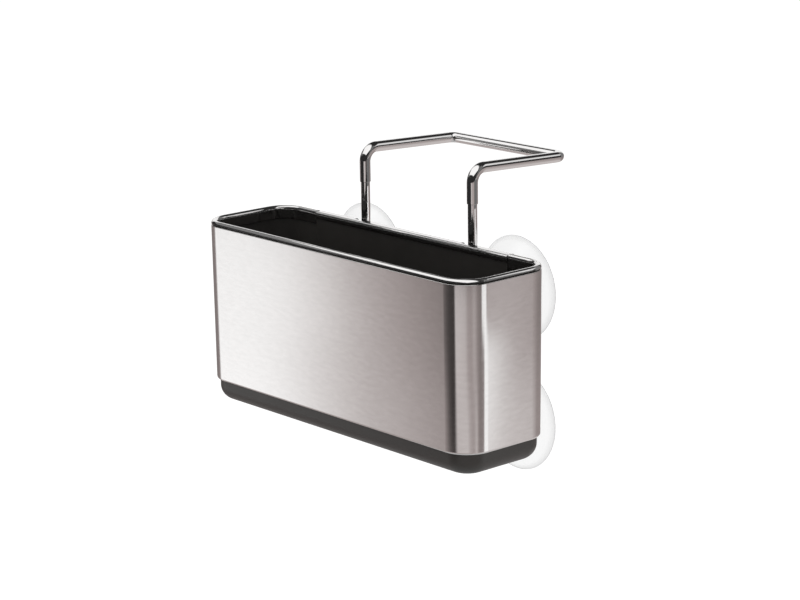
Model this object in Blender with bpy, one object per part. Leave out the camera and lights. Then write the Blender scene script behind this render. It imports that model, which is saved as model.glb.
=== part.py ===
"""Slim sink caddy that hangs on the inside wall of a kitchen sink.

The origin is the middle of the four suction cups, on the plane of their rims.
X runs along the wall, Y points into the wall and Z points up. Lengths are in metres.
"""
import math

import bmesh
import bpy
from mathutils import Vector

# Fits that all pieces share
GAP = 0.0003
WIRE_GAP = 0.00025
CUT_OVERRUN = 0.004

# Bin seen from above, and the slope of its walls
BIN_LENGTH = 0.238
BIN_DEPTH = 0.0693
BIN_CORNER_RADIUS = 0.0178
BIN_TAPER = 0.0006
CORNER_STEPS = 8
ARC_STEPS = 5

# Stainless sleeve with its curled lower hem
SLEEVE_HEIGHT = 0.0979
SLEEVE_THICKNESS = 0.0006
HEM_RADIUS = 0.0018

# Moulded bin inside the sleeve
BASE_BAND_HEIGHT = 0.0133
BASE_EDGE_RADIUS = 0.009
BIN_WALL = 0.002
PANEL_THICKNESS = 0.0008
PANEL_SKIRT = 0.02

# Drain slots in the floor
SLOT_COUNT = 9
SLOT_PITCH = 0.019
SLOT_LENGTH = 0.024
SLOT_WIDTH = 0.003

# Polished rim on top of the bin's walls, its crown half an ellipse in section
RIM_CREST = 0.003
RIM_WIDTH = 0.0042
RIM_SKIRT_DEPTH = 0.005
CROWN_STEPS = 8

# Folded rail that hooks the bin over the hanger plate
RAIL_LENGTH = 0.17
RAIL_THICKNESS = 0.0006
RAIL_CREST = 0.0026
RAIL_OVERHANG = 0.003
RAIL_BEND_RADIUS = 0.002
RAIL_INNER_DEPTH = 0.0042
RAIL_OUTER_DEPTH = 0.007
WIRE_NOTCH_WIDTH = 0.008
WIRE_NOTCH_CLEARANCE = 0.0025

# Hanger plate
PLATE_THICKNESS = 0.0008
PLATE_BELOW_LOWER_CUPS = 0.014
PLATE_TOP_CORNER_RADIUS = 0.003
PLATE_NOTCH_DEPTH = 0.004
PLATE_NOTCH_RADIUS = 0.0012

# Moulded brackets behind the plate
BRACKET_WIDTH = 0.0415
BRACKET_DEPTH = 0.009
BRACKET_BELOW_PLATE_TOP = 0.0022
BRACKET_CORNER_RADIUS = 0.005
BRACKET_EDGE_RADIUS = 0.001
BRACKET_EDGE_STEPS = 2
REBATE_DEPTH = 0.0012
REBATE_CLEARANCE = 0.001
GUIDE_LENGTH = 0.046
GUIDE_FROM_EDGE = 0.007
CUP_FROM_EDGE = 0.016
STOP_POCKET_RADIUS = 0.0049
STOP_POCKET_CLEARANCE = 0.002

# Suction cups
CUP_SPACING_Z = 0.0794
CUP_RADIUS = 0.0314
CUP_LIP_WIDTH = 0.0016
CUP_LIP_THICKNESS = 0.0009
CUP_DISH_DEPTH = 0.008
CUP_COLLAR_RADIUS = 0.007
CUP_NECK_RADIUS = 0.0035
CUP_HEAD_RADIUS = 0.006
CUP_HEAD_THICKNESS = 0.0036
CUP_HEAD_CHAMFER = 0.0014
CUP_SOCKET_WALL = 0.0024
CUP_SEGMENTS = 36
CUP_RINGS = 5

# Place of the bin in front of the wall and under the cups
BIN_TO_WALL = 0.0229
LOWER_CUPS_ABOVE_BASE = 0.0073

# Sliding wire support
ARM_RADIUS = 0.0033
LEG_RADIUS = 0.0028
ARM_HEIGHT_ABOVE_BASE = 0.1577
ARM_REACH = 0.074
ARM_TILT = math.radians(2.2)
LEG_BEND_RADIUS = 0.0085
CORNER_BEND_RADIUS = 0.005
SHOULDER_BELOW_ARM = 0.0208
SHOULDER_CHAMFER = 0.0003
WIRE_END_CHAMFER = 0.0006
WIRE_TRAVEL_UP = 0.025
WIRE_SIDES_RESOLUTION = 6
BEND_STEPS = 7

# Clips that stop the wire's legs
STOP_HEIGHT = 0.008
STOP_RADIUS = 0.0044
STOP_ABOVE_LEG_END = 0.0015
STOP_SET_BACK = 0.0003
STOP_STEPS = 16

# Rivets through each bracket, as places across it and up it
RIVET_SHANK_RADIUS = 0.0016
RIVET_HEAD_RADIUS = 0.0032
RIVET_HEAD_HEIGHT = 0.0014
RIVET_SEGMENTS = 16
RIVET_PLACE_SHARES = ((0.40, 0.46), (0.83, 0.33), (0.83, 0.59))
ROUND_SEGMENTS = 24

# Planes and heights worked out from the sizes above
BIN_BACK_Y = -BIN_TO_WALL
BIN_CENTRE_Y = BIN_BACK_Y - BIN_DEPTH / 2
LOWER_CUPS_Z = -CUP_SPACING_Z / 2
BASE_Z = LOWER_CUPS_Z - LOWER_CUPS_ABOVE_BASE
SLEEVE_BOTTOM_Z = BASE_Z + BASE_BAND_HEIGHT
SLEEVE_TOP_Z = SLEEVE_BOTTOM_Z + SLEEVE_HEIGHT
PLATE_FRONT_Y = BIN_BACK_Y + GAP
PLATE_BACK_Y = PLATE_FRONT_Y + PLATE_THICKNESS
PLATE_TOP_Z = SLEEVE_TOP_Z
PLATE_OUTER_X = RAIL_LENGTH / 2 - RAIL_OVERHANG
PLATE_BOTTOM_Z = LOWER_CUPS_Z - PLATE_BELOW_LOWER_CUPS
BRACKET_FRONT_Y = PLATE_BACK_Y + GAP
BRACKET_BACK_Y = BRACKET_FRONT_Y + BRACKET_DEPTH
BRACKET_TOP_Z = PLATE_TOP_Z - BRACKET_BELOW_PLATE_TOP
BRACKET_INNER_X = PLATE_OUTER_X - BRACKET_WIDTH
CUP_X = PLATE_OUTER_X - CUP_FROM_EDGE
LEG_X = BRACKET_INNER_X + GUIDE_FROM_EDGE
LEG_Y = PLATE_BACK_Y + WIRE_GAP + LEG_RADIUS
ARM_Z = BASE_Z + ARM_HEIGHT_ABOVE_BASE
SHOULDER_Z = ARM_Z - SHOULDER_BELOW_ARM
GUIDE_BOTTOM_Z = BRACKET_TOP_Z - GUIDE_LENGTH
STOP_TOP_Z = GUIDE_BOTTOM_Z - WIRE_TRAVEL_UP - GAP
LEG_END_Z = STOP_TOP_Z - STOP_HEIGHT - STOP_ABOVE_LEG_END
WIRE_TRAVEL_DOWN = SHOULDER_Z - BRACKET_TOP_Z
STOP_POCKET_BOTTOM_Z = LEG_END_Z - WIRE_TRAVEL_DOWN - STOP_POCKET_CLEARANCE
CUP_BELL_HEIGHT = -BRACKET_BACK_Y - GAP
SHARP_ANGLE = math.radians(32)


def clear_scene():
    for item in list(bpy.data.objects):
        bpy.data.objects.remove(item, do_unlink=True)


def make_material(name, colour, roughness, metallic, alpha=1.0):
    material = bpy.data.materials.new(name)
    material.use_nodes = True
    shader = material.node_tree.nodes["Principled BSDF"]
    shader.inputs["Base Color"].default_value = (*colour, 1.0)
    shader.inputs["Roughness"].default_value = roughness
    shader.inputs["Metallic"].default_value = metallic
    shader.inputs["Alpha"].default_value = alpha
    return material


def finish_object(name, mesh_edit, material=None):
    """Turn an edited mesh into a linked object with outward faces."""
    bmesh.ops.recalc_face_normals(mesh_edit, faces=mesh_edit.faces)
    mesh = bpy.data.meshes.new(name)
    mesh_edit.to_mesh(mesh)
    mesh_edit.free()
    mesh.shade_smooth()
    mesh.set_sharp_from_angle(angle=SHARP_ANGLE)
    item = bpy.data.objects.new(name, mesh)
    bpy.context.scene.collection.objects.link(item)
    if material:
        mesh.materials.append(material)
    return item


def bridge(mesh_edit, lower, upper):
    """Join two rings of as many vertices with a band of faces."""
    count = len(lower)
    for index in range(count):
        following = (index + 1) % count
        mesh_edit.faces.new((lower[index], lower[following], upper[following], upper[index]))


def arc_points(centre, radius, start, end, steps):
    """Points on an arc in a plane, with both ends."""
    angles = [start + (end - start) * step / steps for step in range(steps + 1)]
    return [(centre[0] + radius * math.cos(a), centre[1] + radius * math.sin(a)) for a in angles]


def rounded_outline(low, high, radii, steps):
    """Closed outline of a rectangle whose corners start at the lower right, turning left."""
    corners = (
        (high[0], low[1], 1, -1, -math.pi / 2),
        (high[0], high[1], 1, 1, 0.0),
        (low[0], high[1], -1, 1, math.pi / 2),
        (low[0], low[1], -1, -1, math.pi),
    )
    points = []
    for (x, y, side_x, side_y, start), radius in zip(corners, radii):
        centre = (x - side_x * radius, y - side_y * radius)
        points += arc_points(centre, radius, start, start + math.pi / 2, steps)
    return points


def bin_outline(inset):
    """The bin's outline from above, set in from the widest one."""
    half_length = BIN_LENGTH / 2 - inset
    half_depth = BIN_DEPTH / 2 - inset
    radius = max(BIN_CORNER_RADIUS - inset, SLEEVE_THICKNESS)
    low = (-half_length, BIN_CENTRE_Y - half_depth)
    high = (half_length, BIN_CENTRE_Y + half_depth)
    return rounded_outline(low, high, [radius] * 4, CORNER_STEPS)


def loft_round_bin(name, profile, material, capped):
    """Carry a profile of inset and height pairs round the bin's outline."""
    mesh_edit = bmesh.new()
    rings = []
    for inset, height in profile:
        rings.append([mesh_edit.verts.new((x, y, height)) for x, y in bin_outline(inset)])
    for lower, upper in zip(rings, rings[1:]):
        bridge(mesh_edit, lower, upper)
    if capped:
        mesh_edit.faces.new(rings[0])
        mesh_edit.faces.new(rings[-1])
    else:
        bridge(mesh_edit, rings[-1], rings[0])
    return finish_object(name, mesh_edit, material)


def extrude_outline(name, outline, along, start, end, material=None):
    """Extrude a closed outline along one axis, where the outline lies in the other two."""
    def place(first, second, third):
        if along == "X":
            return (third, first, second)
        if along == "Y":
            return (first, third, second)
        return (first, second, third)

    mesh_edit = bmesh.new()
    near = [mesh_edit.verts.new(place(a, b, start)) for a, b in outline]
    far = [mesh_edit.verts.new(place(a, b, end)) for a, b in outline]
    bridge(mesh_edit, near, far)
    mesh_edit.faces.new(near)
    mesh_edit.faces.new(far)
    return finish_object(name, mesh_edit, material)


def revolve(name, profile, centre, along, material=None, segments=ROUND_SEGMENTS):
    """Turn a profile of radius and height pairs, both ends on the axis, about Y or Z."""
    mesh_edit = bmesh.new()
    rings = []
    for radius, height in profile[1:-1]:
        ring = []
        for step in range(segments):
            angle = 2 * math.pi * step / segments
            across = radius * math.cos(angle)
            beside = radius * math.sin(angle)
            offset = (across, height, beside) if along == "Y" else (across, beside, height)
            ring.append(mesh_edit.verts.new(Vector(centre) + Vector(offset)))
        rings.append(ring)
    for lower, upper in zip(rings, rings[1:]):
        bridge(mesh_edit, lower, upper)
    for ring, (_, height) in ((rings[0], profile[0]), (rings[-1], profile[-1])):
        offset = (0, height, 0) if along == "Y" else (0, 0, height)
        pole = mesh_edit.verts.new(Vector(centre) + Vector(offset))
        for index in range(segments):
            mesh_edit.faces.new((ring[index], ring[(index + 1) % segments], pole))
    return finish_object(name, mesh_edit, material)


def cylinder(name, radius, centre, along, start, end, material=None):
    profile = [(0, start), (radius, start), (radius, end), (0, end)]
    return revolve(name, profile, centre, along, material)


def block(name, low, high, material=None):
    outline = [(low[0], low[1]), (high[0], low[1]), (high[0], high[1]), (low[0], high[1])]
    return extrude_outline(name, outline, "Z", low[2], high[2], material)


def join_cutters(cutters):
    """Put separate cutters into one object, so that one modifier can use them."""
    mesh_edit = bmesh.new()
    for cutter in cutters:
        mesh_edit.from_mesh(cutter.data)
    joined = finish_object(cutters[0].name, mesh_edit)
    for cutter in cutters:
        bpy.data.objects.remove(cutter, do_unlink=True)
    return joined


def apply_tool(target, tool, operation):
    """Add a Boolean that uses a hidden tool."""
    tool.hide_render = True
    tool.display_type = "WIRE"
    modifier = target.modifiers.new(operation.title(), "BOOLEAN")
    modifier.operation = operation
    modifier.solver = "EXACT"
    modifier.object = tool


def round_edges(target, width, segments):
    modifier = target.modifiers.new("Rounded edges", "BEVEL")
    modifier.width = width
    modifier.segments = segments
    modifier.limit_method = "ANGLE"
    modifier.angle_limit = SHARP_ANGLE


def side_name(base, side):
    return base + ("_left" if side < 0 else "_right")


def wall_inset(height):
    """How far the sleeve's outer face leans in at a height."""
    return BIN_TAPER * (SLEEVE_TOP_Z - height) / SLEEVE_HEIGHT


def build_sleeve(material):
    hem_inset = wall_inset(SLEEVE_BOTTOM_Z) + HEM_RADIUS
    hem_centre = (hem_inset, SLEEVE_BOTTOM_Z + HEM_RADIUS)
    hem_inner_radius = HEM_RADIUS - SLEEVE_THICKNESS
    outer_hem = arc_points(hem_centre, HEM_RADIUS, math.pi, 1.5 * math.pi, ARC_STEPS)
    inner_hem = arc_points(hem_centre, hem_inner_radius, 1.5 * math.pi, math.pi, ARC_STEPS)
    profile = [(0, SLEEVE_TOP_Z)] + outer_hem + inner_hem + [(SLEEVE_THICKNESS, SLEEVE_TOP_Z)]
    return loft_round_bin("sleeve", profile, material, capped=False)


def bin_wall_profile():
    """Outer face of the moulded bin from its base up, then its inner face down to the floor."""
    base_inset = wall_inset(SLEEVE_BOTTOM_Z) + HEM_RADIUS + GAP
    edge_centre = (base_inset + BASE_EDGE_RADIUS, BASE_Z + BASE_EDGE_RADIUS)
    outer_edge = arc_points(edge_centre, BASE_EDGE_RADIUS, 1.5 * math.pi, math.pi, ARC_STEPS)
    hem_top_z = SLEEVE_BOTTOM_Z + HEM_RADIUS
    lining_inset = SLEEVE_THICKNESS + GAP
    outer = outer_edge + [
        (base_inset, SLEEVE_BOTTOM_Z + SLEEVE_THICKNESS + GAP),
        (wall_inset(hem_top_z) + lining_inset, hem_top_z),
        (lining_inset, SLEEVE_TOP_Z),
    ]
    inner_radius = BASE_EDGE_RADIUS - BIN_WALL
    inner_edge = arc_points(edge_centre, inner_radius, math.pi, 1.5 * math.pi, ARC_STEPS)
    step_z = hem_top_z + BIN_WALL
    inner = [
        (lining_inset + BIN_WALL, SLEEVE_TOP_Z),
        (wall_inset(step_z) + lining_inset + BIN_WALL, step_z),
        (base_inset + BIN_WALL, SLEEVE_BOTTOM_Z),
    ] + inner_edge
    return outer + inner


def build_inner_bin(material):
    """Moulded bin with a drained floor and a thicker panel behind the rail."""
    inner_bin = loft_round_bin("inner_bin", bin_wall_profile(), material, capped=True)
    wall_face_y = BIN_BACK_Y - SLEEVE_THICKNESS - GAP - BIN_WALL
    panel_bottom_z = SLEEVE_BOTTOM_Z + PANEL_SKIRT
    panel_face_y = wall_face_y - wall_inset(panel_bottom_z) - PANEL_THICKNESS
    panel = block(
        "back_panel_tool",
        (-RAIL_LENGTH / 2, panel_face_y, panel_bottom_z),
        (RAIL_LENGTH / 2, wall_face_y + BIN_WALL / 2, SLEEVE_TOP_Z),
    )
    apply_tool(inner_bin, panel, "UNION")
    cutters = []
    half_run = (SLOT_LENGTH - SLOT_WIDTH) / 2
    for index in range(SLOT_COUNT):
        x = (index - (SLOT_COUNT - 1) / 2) * SLOT_PITCH
        low = (x - SLOT_WIDTH / 2, BIN_CENTRE_Y - half_run - SLOT_WIDTH / 2)
        high = (x + SLOT_WIDTH / 2, BIN_CENTRE_Y + half_run + SLOT_WIDTH / 2)
        outline = rounded_outline(low, high, [SLOT_WIDTH / 2] * 4, ARC_STEPS - 2)
        start = BASE_Z - CUT_OVERRUN
        end = BASE_Z + BIN_WALL + CUT_OVERRUN
        cutters.append(extrude_outline("drain_slot_tool", outline, "Z", start, end))
    apply_tool(inner_bin, join_cutters(cutters), "DIFFERENCE")
    return inner_bin


def build_rim_trim(material):
    """Round-topped rim with an inner skirt, open at the back where the rail takes over."""
    underside_z = SLEEVE_TOP_Z + GAP
    crown_height = RIM_CREST - GAP
    half_width = RIM_WIDTH / 2
    crown = []
    for step in range(CROWN_STEPS + 1):
        angle = math.pi * (1 - step / CROWN_STEPS)
        height = underside_z + crown_height * math.sin(angle)
        crown.append((half_width * (1 + math.cos(angle)), height))
    skirt_bottom_z = SLEEVE_TOP_Z - RIM_SKIRT_DEPTH
    skirt_outer = SLEEVE_THICKNESS + GAP + BIN_WALL + GAP
    skirt = [
        (RIM_WIDTH, skirt_bottom_z),
        (skirt_outer + wall_inset(skirt_bottom_z), skirt_bottom_z),
        (skirt_outer, underside_z),
    ]
    rim = loft_round_bin("rim_trim", crown + skirt, material, capped=False)
    half_gap = RAIL_LENGTH / 2 + GAP
    back_gap = block(
        "rim_gap_tool",
        (-half_gap, BIN_CENTRE_Y, skirt_bottom_z - CUT_OVERRUN),
        (half_gap, BIN_BACK_Y + CUT_OVERRUN, SLEEVE_TOP_Z + RIM_CREST + CUT_OVERRUN),
    )
    apply_tool(rim, back_gap, "DIFFERENCE")
    return rim


def rail_section():
    """Section of the folded rail: its outer face over the top, then its inner face back."""
    outer_face_y = PLATE_BACK_Y + GAP + RAIL_THICKNESS
    inner_face_y = BIN_BACK_Y - SLEEVE_THICKNESS - 2 * GAP - BIN_WALL
    inner_face_y -= PANEL_THICKNESS + BIN_TAPER + RAIL_THICKNESS
    crest_z = SLEEVE_TOP_Z + RAIL_CREST
    outer_end_z = crest_z - RAIL_OUTER_DEPTH
    inner_end_z = crest_z - RAIL_INNER_DEPTH
    radius = RAIL_BEND_RADIUS
    back = (outer_face_y - radius, crest_z - radius)
    front = (inner_face_y + radius, crest_z - radius)
    inside = radius - RAIL_THICKNESS
    outside_line = (
        [(outer_face_y, outer_end_z)]
        + arc_points(back, radius, 0.0, math.pi / 2, ARC_STEPS)
        + arc_points(front, radius, math.pi / 2, math.pi, ARC_STEPS)
        + [(inner_face_y, inner_end_z)]
    )
    inside_line = (
        [(inner_face_y + RAIL_THICKNESS, inner_end_z)]
        + arc_points(front, inside, math.pi, math.pi / 2, ARC_STEPS)
        + arc_points(back, inside, math.pi / 2, 0.0, ARC_STEPS)
        + [(outer_face_y - RAIL_THICKNESS, outer_end_z)]
    )
    return outside_line + inside_line


def build_hook_rail(material):
    half = RAIL_LENGTH / 2
    rail = extrude_outline("hook_rail", rail_section(), "X", -half, half, material)
    notch_front_y = LEG_Y - ARM_RADIUS - WIRE_NOTCH_CLEARANCE
    notch_back_y = LEG_Y + CUT_OVERRUN
    cutters = []
    for side in (-1, 1):
        x = side * LEG_X
        low = (x - WIRE_NOTCH_WIDTH / 2, notch_front_y, SLEEVE_TOP_Z - RAIL_OUTER_DEPTH - CUT_OVERRUN)
        high = (x + WIRE_NOTCH_WIDTH / 2, notch_back_y, SLEEVE_TOP_Z + RAIL_CREST + CUT_OVERRUN)
        cutters.append(block("rail_notch_tool", low, high))
    apply_tool(rail, join_cutters(cutters), "DIFFERENCE")
    return rail


def rivet_places(side):
    """Where the rivets of one bracket go, as X and Z."""
    places = []
    for across, up in RIVET_PLACE_SHARES:
        x = BRACKET_INNER_X + across * BRACKET_WIDTH
        z = PLATE_BOTTOM_Z + up * (BRACKET_TOP_Z - PLATE_BOTTOM_Z)
        places.append((side * x, z))
    return places


def build_hanger_plate(material):
    """Flat plate with notches for the wire's legs and holes for the rivets."""
    lower_radius = PLATE_BELOW_LOWER_CUPS
    upper_radius = PLATE_TOP_CORNER_RADIUS
    radii = (lower_radius, upper_radius, upper_radius, lower_radius)
    low = (-PLATE_OUTER_X, PLATE_BOTTOM_Z)
    high = (PLATE_OUTER_X, PLATE_TOP_Z)
    outline = rounded_outline(low, high, radii, ARC_STEPS + 1)
    plate = extrude_outline("hanger_plate", outline, "Y", PLATE_FRONT_Y, PLATE_BACK_Y, material)
    cutters = []
    start = PLATE_FRONT_Y - CUT_OVERRUN
    end = PLATE_BACK_Y + CUT_OVERRUN
    for side in (-1, 1):
        x = side * LEG_X
        notch_low = (x - WIRE_NOTCH_WIDTH / 2, PLATE_TOP_Z - PLATE_NOTCH_DEPTH)
        notch_high = (x + WIRE_NOTCH_WIDTH / 2, PLATE_TOP_Z + CUT_OVERRUN)
        notch = rounded_outline(notch_low, notch_high, [PLATE_NOTCH_RADIUS] * 4, ARC_STEPS)
        cutters.append(extrude_outline("plate_hole_tool", notch, "Y", start, end))
        for rivet_x, rivet_z in rivet_places(side):
            radius = RIVET_SHANK_RADIUS + GAP
            cutters.append(cylinder("plate_hole_tool", radius, (rivet_x, 0, rivet_z), "Y", start, end))
    apply_tool(plate, join_cutters(cutters), "DIFFERENCE")
    return plate


def cup_socket_cutters(side, z):
    """Slot for a cup's neck and a wider pocket for its head, both open to the outer side."""
    cutters = []
    wall_front_y = BRACKET_BACK_Y - CUP_SOCKET_WALL
    pocket_front_y = wall_front_y - CUP_HEAD_THICKNESS - 2 * GAP
    cuts = (
        (CUP_NECK_RADIUS + GAP, wall_front_y - GAP, BRACKET_BACK_Y + CUT_OVERRUN),
        (CUP_HEAD_RADIUS + GAP, pocket_front_y, wall_front_y),
    )
    for radius, start, end in cuts:
        outline = arc_points((CUP_X, z), radius, 1.5 * math.pi, math.pi / 2, 2 * ARC_STEPS)
        outline += [(PLATE_OUTER_X + CUT_OVERRUN, z + radius)]
        outline += [(PLATE_OUTER_X + CUT_OVERRUN, z - radius)]
        outline = [(side * x, height) for x, height in outline]
        cutters.append(extrude_outline("cup_socket_tool", outline, "Y", start, end))
    return cutters


def build_bracket(side, material):
    """Moulded bracket: a guide for one leg of the wire and sockets for two cups."""
    low = (BRACKET_INNER_X, PLATE_BOTTOM_Z)
    high = (PLATE_OUTER_X, BRACKET_TOP_Z)
    radius = BRACKET_CORNER_RADIUS
    radii = (PLATE_BELOW_LOWER_CUPS, radius, radius, radius)
    outline = rounded_outline(low, high, radii, ARC_STEPS + 1)
    outline = [(side * x, z) for x, z in outline]
    name = side_name("bracket", side)
    bracket = extrude_outline(name, outline, "Y", BRACKET_FRONT_Y, BRACKET_BACK_Y, material)
    round_edges(bracket, BRACKET_EDGE_RADIUS, BRACKET_EDGE_STEPS)

    rebate_bottom_z = SLEEVE_TOP_Z + RAIL_CREST - RAIL_OUTER_DEPTH - REBATE_CLEARANCE
    inner_x = side * (BRACKET_INNER_X - CUT_OVERRUN)
    outer_x = side * (PLATE_OUTER_X + CUT_OVERRUN)
    rebate = block(
        "bracket_rebate_tool",
        (min(inner_x, outer_x), BRACKET_FRONT_Y - CUT_OVERRUN, rebate_bottom_z),
        (max(inner_x, outer_x), BRACKET_FRONT_Y + REBATE_DEPTH, BRACKET_TOP_Z + CUT_OVERRUN),
    )
    apply_tool(bracket, rebate, "DIFFERENCE")

    leg = (side * LEG_X, LEG_Y, 0)
    guide_top_z = BRACKET_TOP_Z + CUT_OVERRUN
    guide = cylinder("guide_tool", LEG_RADIUS + GAP, leg, "Z", GUIDE_BOTTOM_Z - GAP, guide_top_z)
    pocket = cylinder("stop_pocket_tool", STOP_POCKET_RADIUS, leg, "Z", STOP_POCKET_BOTTOM_Z, GUIDE_BOTTOM_Z)
    apply_tool(bracket, guide, "DIFFERENCE")
    apply_tool(bracket, pocket, "DIFFERENCE")

    for z in (LOWER_CUPS_Z, -LOWER_CUPS_Z):
        for cutter in cup_socket_cutters(side, z):
            apply_tool(bracket, cutter, "DIFFERENCE")
    holes = []
    start = BRACKET_FRONT_Y - CUT_OVERRUN
    end = BRACKET_BACK_Y + CUT_OVERRUN
    for x, z in rivet_places(side):
        holes.append(cylinder("rivet_hole_tool", RIVET_SHANK_RADIUS + GAP, (x, 0, z), "Y", start, end))
    apply_tool(bracket, join_cutters(holes), "DIFFERENCE")
    return bracket


def cup_profile():
    """From the dish's middle over the flat rim and the bell's back to the head's end."""
    lip_inner = CUP_RADIUS - CUP_LIP_WIDTH
    points = []
    for step in range(CUP_RINGS + 1):
        radius = lip_inner * step / CUP_RINGS
        points.append((radius, -CUP_DISH_DEPTH * (1 - (radius / lip_inner) ** 2)))
    points.append((CUP_RADIUS, 0))
    for step in range(CUP_RINGS + 1):
        radius = CUP_RADIUS + (CUP_COLLAR_RADIUS - CUP_RADIUS) * step / CUP_RINGS
        rise = (CUP_RADIUS**2 - radius**2) / (CUP_RADIUS**2 - CUP_COLLAR_RADIUS**2)
        points.append((radius, -CUP_LIP_THICKNESS - (CUP_BELL_HEIGHT - CUP_LIP_THICKNESS) * rise))
    neck_end = -CUP_BELL_HEIGHT - CUP_SOCKET_WALL - 2 * GAP
    head_end = neck_end - CUP_HEAD_THICKNESS
    points += [
        (CUP_NECK_RADIUS, -CUP_BELL_HEIGHT),
        (CUP_NECK_RADIUS, neck_end),
        (CUP_HEAD_RADIUS, neck_end),
        (CUP_HEAD_RADIUS, head_end + CUP_HEAD_CHAMFER),
        (CUP_HEAD_RADIUS - CUP_HEAD_CHAMFER, head_end),
        (0, head_end),
    ]
    return points


def build_cups(material):
    for level, level_name in ((1, "upper"), (-1, "lower")):
        for side in (-1, 1):
            centre = (side * CUP_X, 0, level * CUP_SPACING_Z / 2)
            name = side_name("suction_cup_" + level_name, side)
            revolve(name, cup_profile(), centre, "Y", material, CUP_SEGMENTS)


def fillet(before, corner, after, radius, steps):
    """Points that round a corner of a path."""
    to_before = (before - corner).normalized()
    to_after = (after - corner).normalized()
    half_angle = to_before.angle(to_after) / 2
    reach = radius / math.tan(half_angle)
    middle = corner + (to_before + to_after).normalized() * radius / math.sin(half_angle)
    start = corner + to_before * reach - middle
    end = corner + to_after * reach - middle
    turn = start.angle(end)
    points = []
    for step in range(steps + 1):
        share = step / steps
        mix = start * math.sin((1 - share) * turn) + end * math.sin(share * turn)
        points.append(middle + mix / math.sin(turn))
    return points


def wire_route():
    """Half of the wire from its leg's end to the crossbar's middle, with its radii."""
    reach_y = ARM_REACH * math.cos(ARM_TILT)
    drop = ARM_REACH * math.sin(ARM_TILT)
    foot = Vector((LEG_X, LEG_Y, LEG_END_Z))
    bend = Vector((LEG_X, LEG_Y, ARM_Z))
    corner = Vector((LEG_X, LEG_Y + reach_y, ARM_Z - drop))
    middle = Vector((0, corner.y, corner.z))
    up = Vector((0, 0, 1))
    shoulder = Vector((LEG_X, LEG_Y, SHOULDER_Z))
    route = [
        (foot, LEG_RADIUS - WIRE_END_CHAMFER),
        (foot + up * WIRE_END_CHAMFER, LEG_RADIUS),
        (shoulder - up * SHOULDER_CHAMFER, LEG_RADIUS),
        (shoulder, ARM_RADIUS),
    ]
    for point in fillet(foot, bend, corner, LEG_BEND_RADIUS, BEND_STEPS):
        route.append((point, ARM_RADIUS))
    for point in fillet(bend, corner, middle, CORNER_BEND_RADIUS, BEND_STEPS):
        route.append((point, ARM_RADIUS))
    return route


def build_wire_support(material):
    """One bent rod with thinner legs, drawn as a round curve."""
    half = wire_route()
    mirrored = [(Vector((-point.x, point.y, point.z)), radius) for point, radius in reversed(half)]
    route = half + mirrored
    curve = bpy.data.curves.new("wire_support", "CURVE")
    curve.dimensions = "3D"
    curve.bevel_depth = ARM_RADIUS
    curve.bevel_resolution = WIRE_SIDES_RESOLUTION
    curve.use_fill_caps = True
    spline = curve.splines.new("POLY")
    spline.points.add(len(route) - 1)
    for knot, (point, radius) in zip(spline.points, route):
        knot.co = (*point, 1.0)
        knot.radius = radius / ARM_RADIUS
    spline.use_smooth = True
    curve.materials.append(material)
    wire = bpy.data.objects.new("wire_support", curve)
    bpy.context.scene.collection.objects.link(wire)
    return wire


def build_leg_stop(side, material):
    """Clip that snaps round a leg, open and flat towards the hanger plate."""
    centre = (side * LEG_X, LEG_Y)
    bore_radius = LEG_RADIUS + GAP
    flat = STOP_SET_BACK - LEG_RADIUS
    outer_start = math.asin(flat / STOP_RADIUS)
    inner_start = math.asin(flat / bore_radius)
    outline = arc_points(centre, STOP_RADIUS, outer_start, math.pi - outer_start, STOP_STEPS)
    outline += arc_points(centre, bore_radius, math.pi - inner_start, inner_start, STOP_STEPS)
    bottom_z = STOP_TOP_Z - STOP_HEIGHT
    extrude_outline(side_name("leg_stop", side), outline, "Z", bottom_z, STOP_TOP_Z, material)


def build_rivets(side, material):
    head_y = BRACKET_BACK_Y + GAP
    profile = [
        (0, PLATE_FRONT_Y),
        (RIVET_SHANK_RADIUS, PLATE_FRONT_Y),
        (RIVET_SHANK_RADIUS, head_y),
        (RIVET_HEAD_RADIUS, head_y),
    ]
    for step in range(1, ARC_STEPS):
        angle = math.pi / 2 * step / ARC_STEPS
        profile.append((RIVET_HEAD_RADIUS * math.cos(angle), head_y + RIVET_HEAD_HEIGHT * math.sin(angle)))
    profile.append((0, head_y + RIVET_HEAD_HEIGHT))
    for number, (x, z) in enumerate(rivet_places(side), start=1):
        name = f"{side_name('rivet', side)}_{number}"
        revolve(name, profile, (x, 0, z), "Y", material, RIVET_SEGMENTS)


def build_caddy():
    clear_scene()
    brushed = make_material("brushed stainless", (0.62, 0.59, 0.57), 0.32, 1.0)
    polished = make_material("polished stainless", (0.72, 0.70, 0.68), 0.12, 1.0)
    dark_plastic = make_material("dark grey plastic", (0.055, 0.05, 0.045), 0.45, 0.0)
    clear_vinyl = make_material("clear vinyl", (0.93, 0.94, 0.94), 0.2, 0.0, alpha=0.35)
    build_sleeve(brushed)
    build_inner_bin(dark_plastic)
    build_rim_trim(polished)
    build_hook_rail(polished)
    build_hanger_plate(brushed)
    build_cups(clear_vinyl)
    build_wire_support(polished)
    for side in (-1, 1):
        build_bracket(side, dark_plastic)
        build_leg_stop(side, dark_plastic)
        build_rivets(side, polished)


build_caddy()
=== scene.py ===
"""Looks of the sink caddy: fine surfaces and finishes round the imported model, studio and camera."""

import math

import bmesh
import bpy
from mathutils import Matrix, Vector


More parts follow.
